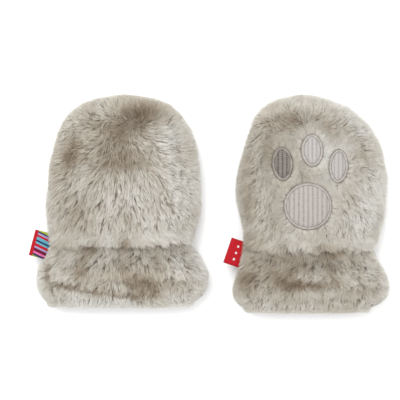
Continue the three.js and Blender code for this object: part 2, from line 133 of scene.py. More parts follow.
RIGHT_FOLDS = table(FOLD, [
    [-34, 45, -36, 31, 3.2, 1],
    [-24, 43, -23, 32, 3, 1.2],
    [-14, 46, -16, 29, 3.2, 1.4],
    [-4, 43, -5, 30, 3, 1],
    [7, 46, 6, 31, 3.2, 1.6],
    [17, 43, 19, 33, 3, 0.8],
    [27, 45, 30, 31, 3.2, 1.2],
    [-42, 21, -28, 19, 4.6, 1.3],
    [-8, 19, 22, 17, 4.6, 1.5],
    [26, 108, 36, 92, 5, 1.1],
    [-36, 74, -33, 60, 5, 0.9],
])
PADS = table("x up wide long turn", [
    [-2.3, 64.7, 14.4, 14, 0],
    [-17.5, 90, 6.3, 10.1, 3],
    [0.2, 98, 6.6, 9.7, 1],
    [15.9, 88.6, 5.9, 10.1, -3],
])
PAD_NODES = ["right_pad_heel", "right_pad_toe_1", "right_pad_toe_2", "right_pad_toe_3"]
PAD_PIECES = ["heel_pad", "outer_toe_pad", "middle_toe_pad", "inner_toe_pad"]
NO_PADS = {name: column[:0] for name, column in PADS.items()}

# Which way the pile is combed: at x, up it lies towards this many degrees, where 0 is +X and 90 the fingertips.
# Where near rows point different ways, the pile parts.
COMB = "x up degrees"
LEFT_COMB = table(COMB, [
    [-27, 118, -172], [-36, 108, -155], [-20, 104, -162], [-30, 96, -150], [-40, 85, -142], [-22, 88, -140],
    [-38, 66, -124], [-25, 75, -128], [-12, 80, -115], [-15, 62, -110], [-30, 52, -112], [-2, 72, -95],
    [0, 52, -92], [5, 84, -82], [12, 70, -72], [20, 60, -70], [30, 52, -64], [15, 92, -42], [25, 85, -26],
    [38, 85, -14], [38, 70, -32], [38, 55, -52], [20, 106, -8], [33, 105, 4], [28, 115, 22], [2, 126, 115],
    [-12, 122, 164], [16, 124, 45], [-5, 108, -120], [6, 102, -70], [-40, 33, -118], [-30, 24, -122],
    [-15, 25, -104], [0, 25, -95], [15, 25, -84], [30, 25, -68], [42, 25, -48], [-30, 8, -102], [0, 5, -90],
    [30, 8, -74], [45, 10, -40], [-48, 15, -150],
])
RIGHT_COMB = table(COMB, [
    [-27, 112, -138], [-36, 100, -122], [-38, 80, -122], [-36, 62, -118], [-28, 50, -110], [-10, 47, -98],
    [5, 46, -90], [18, 48, -80], [30, 55, -68], [38, 68, -45], [40, 85, -38], [36, 98, -22], [26, 110, -12],
    [13, 119, 8], [-4, 127, 70], [-20, 122, 140], [-12, 113, 178], [5, 112, -4], [24, 92, -24], [26, 74, -48],
    [-27, 86, -130], [-22, 70, -124], [-38, 30, -136], [-25, 25, -128], [-8, 28, -110], [8, 28, -90],
    [22, 30, -70], [36, 28, -50], [-30, 8, -112], [0, 6, -92], [30, 8, -74], [44, 15, -30], [-44, 15, -142],
])

# Where the fur is darker (tone below 0) or paler, as ovals with their half sizes, turned by degrees. Most are the
# pile's own blotches; some are painted shade in creases and painted rim light, marked below.
PATCH = "x up wide long turn tone"
LEFT_PATCHES = table(PATCH, [
    [8, 115, 8, 8, 0, -0.38], [9, 122, 20, 6, 0, -0.2], [-12, 110, 13, 7, -30, -0.2], [-4, 105, 9, 7, 0, -0.18],
    [24, 116, 12, 6, -35, -0.14], [-31, 104, 9, 7, 0, -0.12], [-22, 84, 11, 8, 0, -0.1], [7, 93, 13, 12, 0, -0.12],
    [-31, 93, 5.5, 9, -15, -0.4], [-1, 88, 18, 7, 0, -0.25], [-5, 97, 12, 6, 0, -0.06], [-31, 56, 9, 8, 0, -0.22],
    # On this line and the next, the dark ovals at up 36.5 to 38 are painted shade in the wrist's crease.
    [-36, 72, 7, 10, 0, -0.07], [-19, 36.5, 7, 3, 0, -0.36], [0, 38, 4, 4, 0, -0.34], [13, 37.5, 7, 2, 0, -0.1],
    [30, 38, 6, 2, 0, -0.1], [-36, 38, 7, 2, 0, -0.14], [-46, 20, 3, 7, 0, -0.12], [42, 44, 5, 8, 0, 0.08],
    [-23, 30, 4, 9, -28, -0.3], [-26, 21, 5, 5, 0, -0.28], [12, 15.5, 11, 7.5, 0, -0.5], [20, 31, 4, 8, 30, -0.2],
    # The four thin dark ovals that end this line and start the next lie along the hem's groove: painted shade in it.
    [30, 34, 7, 2, -15, -0.08], [-36, 13.8, 6, 1.3, -17, -0.38], [-24, 11.2, 8, 1.3, -13, -0.38],
    [-8, 8.8, 10, 1.2, -9, -0.44], [8, 7.6, 9, 1.2, -2, -0.4], [-4, 24, 8, 8, 0, -0.1], [18, 8, 5, 4, 0, -0.14],
    [33, 16, 6, 3, 0, -0.12], [1, 25, 3, 8, 25, -0.1], [27, 78, 13, 32, 0, 0.1], [30, 105, 8, 12, 0, 0.08],
    [5, 64, 12, 12, 0, 0.05], [-12, 28, 4, 7, 0, 0.06], [32, 24, 8, 6, 0, 0.1], [46, 18, 4, 14, 0, 0.1],
    [0, 4, 46, 4, 0, 0.15], [-49, 12, 4, 12, 0, 0.08], [-43, 82, 4, 30, 0, -0.07], [2, 114, 6, 6, 0, -0.12],
    # Its first oval, thin and dark at x -46, is painted shade in the narrow crease beside the cuff's edge.
    [-46, 22, 1.5, 8, 0, -0.26], [-51, 16, 2.5, 11, 0, 0.08],
])
RIGHT_PATCHES = table(PATCH, [
    [-11, 117, 5, 5, 0, -0.34], [-19, 115.5, 11, 7, -10, -0.18], [8, 114, 14, 5, -25, -0.13],
    [-31, 108, 9, 10, 0, -0.13], [-39, 82, 5, 22, 0, -0.14], [-26, 92, 3, 10, 0, -0.12], [-38, 62, 6, 12, 0, -0.18],
    # The dark ovals at up 37 on this line and up 36.5 on the next are painted shade in the wrist's crease.
    [29, 98, 6, 8, 0, -0.14], [-24, 80, 6, 8, 0, -0.06], [-39, 42, 6, 5, 0, -0.26], [-20, 37, 9, 4, 0, -0.26],
    [13, 36.5, 10, 4, 0, -0.3], [-8, 32, 7, 5, 0, -0.22], [-25, 25, 9, 6, 20, -0.26], [-40, 21, 6, 6, 0, -0.44],
    # Its second oval, thin and dark at up 17.5, is painted shade in the hem's groove.
    [-16, 20, 8, 4, 0, -0.22], [0, 17.5, 15, 2.4, 0, -0.42], [12, 26, 4, 7, 30, -0.2], [28, 30, 6, 5, 0, -0.12],
    [-1, 27, 30, 12, 0, -0.1], [-30, 12, 12, 3, -8, -0.12], [30, 13, 10, 2.5, 10, -0.12], [2, 11, 20, 3, 0, -0.1],
    [-30, 31, 9, 4, 0, -0.1], [0, 100, 10, 13, 0, 0.05], [17, 88, 10, 14, 0, 0.04], [-3, 60, 22, 17, 0, -0.05],
    # Its second oval, pale along x 38, is painted rim light on the right mitten's right side.
    [-1, 82, 12, 5, 0, -0.08], [38, 84, 6, 34, 0, 0.14], [27, 58, 9, 12, 0, 0.12], [24, 118, 14, 6, -38, 0.14],
    [-10, 127, 16, 4, 15, 0.03], [36, 27, 7, 6, 0, 0.12], [44, 17, 3, 12, 0, 0.12], [1, 23, 4, 4, 0, 0.08],
    [-38, 30, 6, 6, 0, -0.06], [0, 5, 40, 3.5, 0, -0.04], [-19, 91, 10, 14, 0, -0.19], [39.5, 22, 1.5, 9, -8, -0.14],
    # This thin dark line at x 36 is painted shade along the crease inside the right rim.
    [36, 82, 1.3, 22, 0, -0.1],
])


def smooth(values, at):
    """A cubic curve through the values, read at row numbers between them."""
    i = np.clip(np.floor(at).astype(int), 0, len(values) - 2)
    f = at - i
    a, b, c, d = (values[np.clip(i + k, 0, len(values) - 1)] for k in (-1, 0, 1, 2))
    return b + 0.5 * f * (c - a + f * (2 * a - 5 * b + 4 * c - d + f * (3 * (b - c) + d - a)))


def unit(v):
    """Each vector, made 1 long."""
    return v / np.maximum(np.linalg.norm(v, axis=-1, keepdims=True), 1e-9)


def turned(x, y, angle):
    """x and y, turned by an angle in radians."""
    return x * np.cos(angle) - y * np.sin(angle), x * np.sin(angle) + y * np.cos(angle)


def step_up(low, high, x):
    """0 below low, 1 above high, and an even S between them."""
    t = np.clip((x - low) / (high - low), 0, 1)
    return t * t * (3 - 2 * t)


def closing(share):
    """How full a section is near the fingertip: a quarter circle."""
    return np.sqrt(1 - (1 - np.clip(share, 0, 1)) ** 2)


def ovals(t, x, up):
    """Each oval's own radius at the points, 1 on its edge. The last axis runs over the table's rows."""
    across, along = turned(x[..., None] - t["x"], up[..., None] - t["up"], -np.radians(t["turn"]))
    return np.hypot(across / t["wide"], along / t["long"])


def from_pads(pads, x, up):
    """Roughly how far each point is from the nearest pad's edge, negative inside."""
    if not len(pads["x"]):
        return np.full(np.shape(x), 99.0)
    return ((ovals(pads, x, up) - 1) * np.minimum(pads["wide"], pads["long"])).min(-1)


def waves(x, y, size, seed, count=9):
    """Soft unevenness between about -1 and 1: a sum of sine waves about this long, in all directions."""
    rng = np.random.default_rng(seed)
    way, phase = rng.uniform(0, 2 * np.pi, (2, count))
    length = size * rng.uniform(0.7, 1.6, count)
    along = x[..., None] * np.cos(way) + y[..., None] * np.sin(way)
    return np.sin(2 * np.pi * along / length + phase).sum(-1) / np.sqrt(count)


class Mitten:
    """One mitten's form, with its surface at any depth below the tips of the pile.

    s runs along it: tip_row at the fingertip, 0 to -1 round the hem's fold, and on inside to -1 - tip_row.
    c runs round it: -1 to 1 over the top, 2 at half height on each side, 3 to 4 under it, where both sides meet.
    """

    def __init__(self, side, sections, tip, folds, pads, comb, patches, smoothness, middle, hem):
        self.side, self.sections, self.folds, self.pads, self.smoothness = side, sections, folds, pads, smoothness
        self.comb, self.patches, self.origin = comb, patches, np.array([middle, hem, 0.0])
        self.tip_up = tip[1]
        self.tip_row = len(sections["up"])
        self.out_x = np.concatenate([sections["left"], [tip[0]], sections["right"][::-1]])
        self.out_up = np.concatenate([sections["up"], [tip[1]], sections["up"][::-1]])

    def value(self, name, row):
        """A column of the sections at a row between them."""
        return smooth(self.sections[name], np.minimum(row, self.tip_row - 1))

    def edge(self, at, depth):
        """The outline at a row number that runs up the left side and down the right one, moved in by depth."""
        x = smooth(self.out_x, at + 0.05) - smooth(self.out_x, at - 0.05)
        up = smooth(self.out_up, at + 0.05) - smooth(self.out_up, at - 0.05)
        inward = unit(np.stack([up, np.minimum(-x, 0)], -1))
        return np.stack([smooth(self.out_x, at), smooth(self.out_up, at)], -1) + inward * depth[..., None]

    def relief(self, x, up):
        """How far the folds and the pads pull the pile down: a bell curve off each fold's line, and an even slope
        round each pad."""
        f = self.folds
        along = np.stack([f["to_x"] - f["x"], f["to_up"] - f["up"]], -1)
        away = np.stack([x[..., None] - f["x"], up[..., None] - f["up"]], -1)
        share = np.clip((away * along).sum(-1) / (along**2).sum(-1), 0, 1)
        off = np.linalg.norm(away - share[..., None] * along, axis=-1)
        folds = (f["deep"] * np.exp(-((off / f["wide"]) ** 2))).sum(-1)
        hollow = 1 - step_up(0.12, 1, from_pads(self.pads, x, up) / PAD_HOLLOW_REACH)
        return folds * (1 - hollow) + PAD_HOLLOW * hollow

    def point(self, s, c, deep):
        """The surface in millimetres, in the mitten's own frame.

        A section is a flat top with a crown, a quarter circle above and below the seam's height on each side, and a
        flat underside. They close on quarter circles at the fingertips, and the hem's fold is a half circle."""
        s, c, deep = np.broadcast_arrays(np.asarray(s, float), np.asarray(c, float), np.asarray(deep, float))
        c = (c + 4) % 8 - 4
        row = np.where(s >= 0, s, np.maximum(-1 - s, 0))
        wall = self.value("wall", row)
        turn = np.pi * np.clip(-s, 0, 1)
        fold = wall / 2 - deep
        depth = np.where(s >= 0, deep, np.where(s > -1, wall / 2 - fold * np.cos(turn), wall - deep))
        shift = np.where((s < 0) & (s > -1), -fold * np.sin(turn), 0)

        left, right = self.edge(row, depth), self.edge(2 * self.tip_row - row, depth)
        half = np.maximum((right[..., 0] - left[..., 0]) / 2, 1e-6)
        middle = (right[..., 0] + left[..., 0]) / 2
        to_tip = self.tip_up - depth - (left[..., 1] + right[..., 1]) / 2
        above, below = self.value("loft", row) - depth, SEAM_HEIGHT - depth
        crown = self.value("crown", row) * closing(to_tip / above)
        above, below = above * closing(to_tip / above), below * closing(to_tip / below)

        side, reach = np.sign(c), np.abs(c)
        angle = (2 - np.clip(reach, 1, 3)) * np.pi / 2
        radius = np.where(reach < 2, above, below)
        straight = half - radius
        x_side = side * (straight + radius * np.cos(angle))
        x = np.where(reach <= 1, c * (half - above), np.where(reach <= 3, x_side, side * straight * (4 - reach)))
        z = SEAM_HEIGHT + np.where(reach <= 1, above, radius * np.sin(angle))
        z = z + np.where(reach <= 1, crown * 0.5 * (1 + np.cos(np.pi * c)), 0)
        share = np.abs(x / half)
        rise = SIDE_RISE * np.exp(-((left[..., 1] / SIDE_RISE_REACH) ** 2)) * share**3
        up = left[..., 1] + (right[..., 1] - left[..., 1]) * (x / half + 1) / 2 + rise + shift
        x = middle + x
        pulled = np.where(reach <= 1, 1, np.maximum(np.sin(angle), 0)) * (s > -0.5)
        z = z - self.relief(x, up) * pulled * np.clip(above / self.sections["loft"][WRIST_ROW + 3], 0, 1)
        return np.stack([x, up, z], -1)

    def slopes(self, s, c, deep=0.0):
        """The surface's slopes along and round it, in millimetres for one row and one step of c."""
        along = self.point(s + 0.03, c, deep) - self.point(s - 0.03, c, deep)
        around = self.point(s, c + 0.015, deep) - self.point(s, c - 0.015, deep)
        return along / 0.06, around / 0.03

    def normal(self, s, c, deep):
        """The way out of the pelt."""
        along, around = self.slopes(s, c, deep)
        return unit(np.cross(around, along))

    def carried(self, s, c, way, far, deep):
        """The surface's point that lies this far from another one, along a way that follows the surface."""
        along, around = self.slopes(s, c)
        e, f, g = (along**2).sum(-1), (along * around).sum(-1), (around**2).sum(-1)
        a, b = (way * along).sum(-1), (way * around).sum(-1)
        size = np.maximum(e * g - f * f, 1e-3)
        ds, dc = (g * a - f * b) / size * far, (e * b - f * a) / size * far
        return self.point(np.minimum(s + np.clip(ds, -3, 3), self.tip_row - 0.01), c + np.clip(dc, -0.8, 0.8), deep)

    def height(self, x, up):
        """The top's height above the table at a place between its rounded sides, by Newton's steps on s and c."""
        x, up = np.broadcast_arrays(np.asarray(x, float), np.asarray(up, float))
        flat_half = 34.0  # of the part between the rounded sides, as a first guess
        s, c = np.interp(up, self.out_up[:self.tip_row], np.arange(self.tip_row)), x / flat_half
        for _ in range(8):
            p = self.point(s, c, 0.0)
            along, around = self.slopes(s, c)
            size = along[..., 1] * around[..., 0] - along[..., 0] * around[..., 1]
            dx, dy = x - p[..., 0], up - p[..., 1]
            s = s + (around[..., 0] * dy - around[..., 1] * dx) / size
            c = np.clip(c + (along[..., 1] * dx - along[..., 0] * dy) / size, -1, 1)
        return self.point(s, c, 0.0)[..., 2]

    def place(self, points):
        """From millimetres in the mitten's frame to metres in the shared one."""
        return (points + self.origin) * MM


LEFT = Mitten("left", LEFT_SECTIONS, (0, 128.7), LEFT_FOLDS, NO_PADS, LEFT_COMB, LEFT_PATCHES, 0.05, -51.07, -62.73)
RIGHT = Mitten("right", RIGHT_SECTIONS, (-4.9, 132), RIGHT_FOLDS, PADS, RIGHT_COMB, RIGHT_PATCHES, 0.25, 61.13, -66.03)


def mesh_object(name, points, faces, materials, uv=None, uv_name="UVMap"):
    """A mesh piece from an array of points in metres and arrays of faces with equally many corners each."""
    faces = [np.asarray(f, np.int32) for f in faces]
    loops = np.concatenate([f.ravel() for f in faces])
    sizes = np.concatenate([np.full(len(f), f.shape[1], np.int32) for f in faces])
    mesh = bpy.data.meshes.new(name)
    mesh.vertices.add(len(points))
    mesh.vertices.foreach_set("co", np.asarray(points, np.float32).ravel())
    mesh.loops.add(len(loops))
    mesh.loops.foreach_set("vertex_index", loops)
    mesh.polygons.add(len(sizes))
    mesh.polygons.foreach_set("loop_start", np.concatenate([[0], np.cumsum(sizes)[:-1]]).astype(np.int32))
    mesh.polygons.foreach_set("loop_total", sizes)
    mesh.polygons.foreach_set("use_smooth", np.full(len(sizes), True))
    if uv is not None:
        layer = mesh.uv_layers.new(name=uv_name)
        layer.data.foreach_set("uv", np.asarray(uv, np.float32)[loops].ravel())
    mesh.update(calc_edges=True)
    mesh.validate()
    for m in materials:
        mesh.materials.append(m)
    piece = bpy.data.objects.new(name, mesh)
    bpy.context.scene.collection.objects.link(piece)
    return piece


def grid_faces(rows, columns, start=0, closed=False):
    """The quads of a grid of points kept row by row, facing out when rows cross columns is outward."""
    wide = columns if closed else columns - 1
    j, i = np.meshgrid(np.arange(rows - 1), np.arange(wide), indexing="ij")
    a, b = start + j * columns + i, start + j * columns + (i + 1) % columns
    return np.stack([a, b, b + columns, a + columns], -1).reshape(-1, 4)


# Materials


def new_material(name):
    """A material, its nodes, its links and its shader."""
    m = bpy.data.materials.new(name)
    m.use_nodes = True
    return m, m.node_tree.nodes, m.node_tree.links, m.node_tree.nodes["Principled BSDF"]


def ramp(nodes, stops):
    """A colour ramp node with a (place, colour) stop for each entry."""
    r = nodes.new("ShaderNodeValToRGB")
    while len(r.color_ramp.elements) < len(stops):
        r.color_ramp.elements.new(0.5)
    for e, (at, colour) in zip(r.color_ramp.elements, stops):
        e.position = at
        e.color = (*colour, 1)
    return r


def sums(nodes, links):
    """A function that adds a Math node for sockets and plain numbers, and gives back its output."""
    def maths(operation, a, b=None, c=None):
        node = nodes.new("ShaderNodeMath")
        node.operation = operation
        for socket, value in zip(node.inputs, (a, b, c)):
            if isinstance(value, (int, float)):
                socket.default_value = value
            elif value is not None:
                links.new(value, socket)
        return node.outputs[0]
    return maths


def mixed(nodes, links, blend, factor, base, top):
    """Two colours blended. The factor and the top one may be sockets or plain values."""
    mix = nodes.new("ShaderNodeMix")
    mix.data_type, mix.blend_type = "RGBA", blend
    links.new(base, mix.inputs["A"])
    for name, value in (("Factor", factor), ("B", top)):
        if isinstance(value, bpy.types.NodeSocket):
            links.new(value, mix.inputs[name])
        else:
            mix.inputs[name].default_value = value
    return mix.outputs["Result"]


def raise_surface(nodes, links, shader, height, strength, distance):
    """A bump on the shader, this strong and this many metres high."""
    bump = nodes.new("ShaderNodeBump")
    bump.inputs["Strength"].default_value = strength
    bump.inputs["Distance"].default_value = distance
    links.new(height, bump.inputs["Height"])
    links.new(bump.outputs["Normal"], shader.inputs["Normal"])


def surface(shader, roughness, shine):
    """The shader's roughness, and how strongly it mirrors."""
    shader.inputs["Roughness"].default_value = roughness
    shader.inputs["Specular IOR Level"].default_value = shine


def fur_material():
    """Coloured by the piece's own map: dark to pale fibres along u, times the root to the tip along v."""
    m, nodes, links, shader = new_material("plush_pile")
    coords = nodes.new("ShaderNodeUVMap")
    coords.uv_map = "OFBake"
    parts = nodes.new("ShaderNodeSeparateXYZ")
    links.new(coords.outputs["UV"], parts.inputs[0])
    tone = ramp(nodes, [
        (0.0, (0.09, 0.058, 0.034)), (0.22, (0.22, 0.167, 0.113)), (0.42, (0.365, 0.318, 0.252)),
        (0.62, (0.495, 0.465, 0.405)), (0.82, (0.598, 0.587, 0.548)), (1.0, (0.70, 0.695, 0.672)),
    ])
    length = ramp(nodes, [
        (0.0, (0.60, 0.52, 0.44)), (0.35, (0.83, 0.79, 0.74)), (0.75, (0.98, 0.97, 0.96)), (1.0, (1.0, 1.0, 1.0)),
    ])
    links.new(parts.outputs["X"], tone.inputs[0])
    links.new(parts.outputs["Y"], length.inputs[0])
    colour = mixed(nodes, links, "MULTIPLY", 1.0, tone.outputs["Color"], length.outputs["Color"])
    links.new(colour, shader.inputs["Base Color"])
    surface(shader, 0.62, 0.28)
    shader.inputs["Sheen Weight"].default_value = 0.25
    shader.inputs["Sheen Roughness"].default_value = 0.5
    return m


def uneven_cloth(name, dark, pale, size, bump, roughness=0.95):
    """Cloth whose colour wanders between two shades over patches of this size, with fine fibre bump."""
    m, nodes, links, shader = new_material(name)
    coords = nodes.new("ShaderNodeTexCoord")
    noise = nodes.new("ShaderNodeTexNoise")
    noise.inputs["Scale"].default_value = 1 / size
    noise.inputs["Detail"].default_value = 6
    shades = ramp(nodes, [(0.3, dark), (0.7, pale)])
    links.new(coords.outputs["Object"], noise.inputs["Vector"])
    links.new(noise.outputs["Fac"], shades.inputs[0])
    links.new(shades.outputs["Color"], shader.inputs["Base Color"])
    fine = nodes.new("ShaderNodeTexNoise")
    fine.inputs["Scale"].default_value = 2600
    fine.inputs["Detail"].default_value = 3
    links.new(coords.outputs["Object"], fine.inputs["Vector"])
    raise_surface(nodes, links, shader, fine.outputs["Fac"], bump, 0.0003)
    surface(shader, roughness, 0.2)
    return m


FUR = fur_material()
# The undercoat's dark brown is partly the dense underfur's own colour and partly painted shade, for the shade deep
# among the roots where the pelt shows between strands.
SHADED_UNDERCOAT = uneven_cloth("plush_undercoat_painted_shade", (0.15, 0.12, 0.092), (0.23, 0.195, 0.155), 0.006, 0.8)
BACKING = uneven_cloth("knitted_backing", (0.42, 0.38, 0.32), (0.50, 0.46, 0.39), 0.01, 0.6)


# The pelts


def pelt(mitten):
    """A closed shell: the undercoat outside, round the hem's fold and a little way in, then the bare backing.

    Its rows run from the outer fingertip to the inner one, and each goes all round the mitten.
    """
    tip = mitten.tip_row
    outer = np.linspace(tip - 0.02, 0, 84)
    fold = np.linspace(0, -1, 10)[1:]
    inner = np.linspace(-1, -1 - tip + 0.02, 42)[1:]
    s = np.concatenate([outer, fold, inner])
    side, under = 17, 7
    c = np.concatenate([
        np.linspace(-1, 1, 51), np.linspace(1, 3, side)[1:], np.linspace(3, 4, under)[1:],
        np.linspace(-4, -3, under)[1:], np.linspace(-3, -1, side)[1:-1],
    ])
    furred = np.where(s >= -1, 1, 1 - step_up(FURRED_INSIDE, FURRED_INSIDE + 1.2, -1 - s))
    points = mitten.point(s[:, None], c[None, :], (PILE * furred)[:, None]).reshape(-1, 3)
    faces = grid_faces(len(s), len(c), closed=True)[:, ::-1]
    ring = np.arange(len(c))
    caps = [ring[None, :], (ring + (len(s) - 1) * len(c))[None, ::-1]]
    piece = mesh_object(f"{mitten.side}_pelt", mitten.place(points), [faces, *caps], [SHADED_UNDERCOAT, BACKING])
    bare = np.repeat(s[:-1] < -1 - FURRED_INSIDE, len(c))
    piece.data.polygons.foreach_set("material_index", np.concatenate([bare, [0, 1]]).astype(np.int32))
    return piece


# The pile


def spread(mitten, s_range, c_range, count, rng, weight=None):
    """Points spread evenly over a stretch of the pelt: cells of a grid are picked by their area times a weight."""
    s_at, c_at = np.linspace(*s_range, 181), np.linspace(*c_range, 141)
    p = mitten.point(s_at[:, None], c_at[None, :], 0.0)
    sides = np.cross(p[1:, 1:] - p[:-1, :-1], p[1:, :-1] - p[:-1, 1:])
    area = np.linalg.norm(sides, axis=-1)
    if weight is not None:
        middle = (p[1:, 1:] + p[:-1, :-1]) / 2
        area = area * weight(middle[..., 0], middle[..., 1])
    total = np.cumsum(area.ravel())
    pick = np.searchsorted(total, (np.arange(count) + rng.random(count)) / count * total[-1])
    j, i = np.unravel_index(np.minimum(pick, area.size - 1), area.shape)
    s = s_at[j] + (s_at[1] - s_at[0]) * rng.random(count)
    c = c_at[i] + (c_at[1] - c_at[0]) * rng.random(count)
    return s, c


def combed(mitten, x, up, normal):
    """The way the pile lies at points of the pelt: the combing table's nearest rows, away from the pads beside
    them, with soft waves, and turned down over the sides.

    It comes with how well those rows agree, from 0 to 1, which is low where the pile parts."""
    t = mitten.comb
    away = (x[..., None] - t["x"]) ** 2 + (up[..., None] - t["up"]) ** 2
    weight = 1 / (away + 20) ** 1.6
    angle = np.radians(t["degrees"])
    way = np.stack([(weight * np.cos(angle)).sum(-1), (weight * np.sin(angle)).sum(-1)], -1)
    agreed = np.clip(np.linalg.norm(way, axis=-1) / weight.sum(-1), 0, 1)
    way = unit(way)
    off_pads = from_pads(mitten.pads, x, up)
    if len(mitten.pads["x"]):
        step = 0.2
        off_x, off_up = from_pads(mitten.pads, x + step, up), from_pads(mitten.pads, x, up + step)
        out = np.stack([off_x - off_pads, off_up - off_pads], -1)
        near = np.exp(-((np.maximum(off_pads, 0) / 3.2) ** 2))
        way = unit(way * (1 - near[..., None]) + unit(out) * near[..., None])
        agreed = np.maximum(agreed, near)
    turn = np.radians(16) * waves(x, up, 15, 5) + np.radians(9) * waves(x, up, 6, 6)
    way = np.stack(turned(way[..., 0], way[..., 1], turn), -1)
    steep = 1 - np.clip(normal[..., 2:], 0, 1)
    flat = np.concatenate([way, -0.9 * steep], -1)
    return unit(flat - (flat * normal).sum(-1, keepdims=True) * normal), agreed


def tone_at(mitten, x, up, z):
    """How pale the pile is, 0 to 1: patches, paler round the paw and low on the sides as painted light, and soft
    unevenness.
    """
    t = mitten.patches
    patches = (t["tone"] * np.exp(-ovals(t, x, up) ** 2 * 0.9)).sum(-1)
    # Paler round the paw: painted light on the pressed pile, against the shade in the hollow round each pad.
    halo_light = 0.03 * np.exp(-((np.maximum(from_pads(mitten.pads, x, up), 0) / 5) ** 2))
    # Paler low on the sides and under the mitten: painted rim light where the pile rounds away.
    rim = 0.12 * (1 - step_up(10, 22, z))
    uneven = 0.05 * waves(x, up, 22, 1) + 0.035 * waves(x, up, 8, 2)
    return MIDDLE_TONE + patches + halo_light + rim + uneven


def softness(mitten, s, c, x, up):
    """1 where the pile lies short and even, 0 elsewhere: on the sides, round the hem and the fingertips, beside the
    pads, and in the darker and paler patches, less so on the cuffs."""
    t = mitten.patches
    tone = (t["tone"] * np.exp(-ovals(t, x, up) ** 2)).sum(-1)
    rubbed = np.maximum(-1.6 * tone, 2.0 * tone) * (0.4 + 0.6 * step_up(WRIST_ROW - 0.5, WRIST_ROW + 0.5, s))
    sides = step_up(0.85, 1.5, np.abs(c) + np.where(c > 0, 0.3, -0.2))
    ends = np.maximum(1 - step_up(1.2, 3.0, s), step_up(mitten.tip_row - 4.5, mitten.tip_row - 1.6, s))
    pressed = 1 - step_up(1.5, 5.5, from_pads(mitten.pads, x, up))
    most = np.max([sides, ends, pressed, rubbed + mitten.smoothness], axis=0)
    return np.clip(most, 0, 1)


STRAND_POINTS = np.array([0.0, 0.42, 0.76])  # where along a strand it has two edges, before its one tip


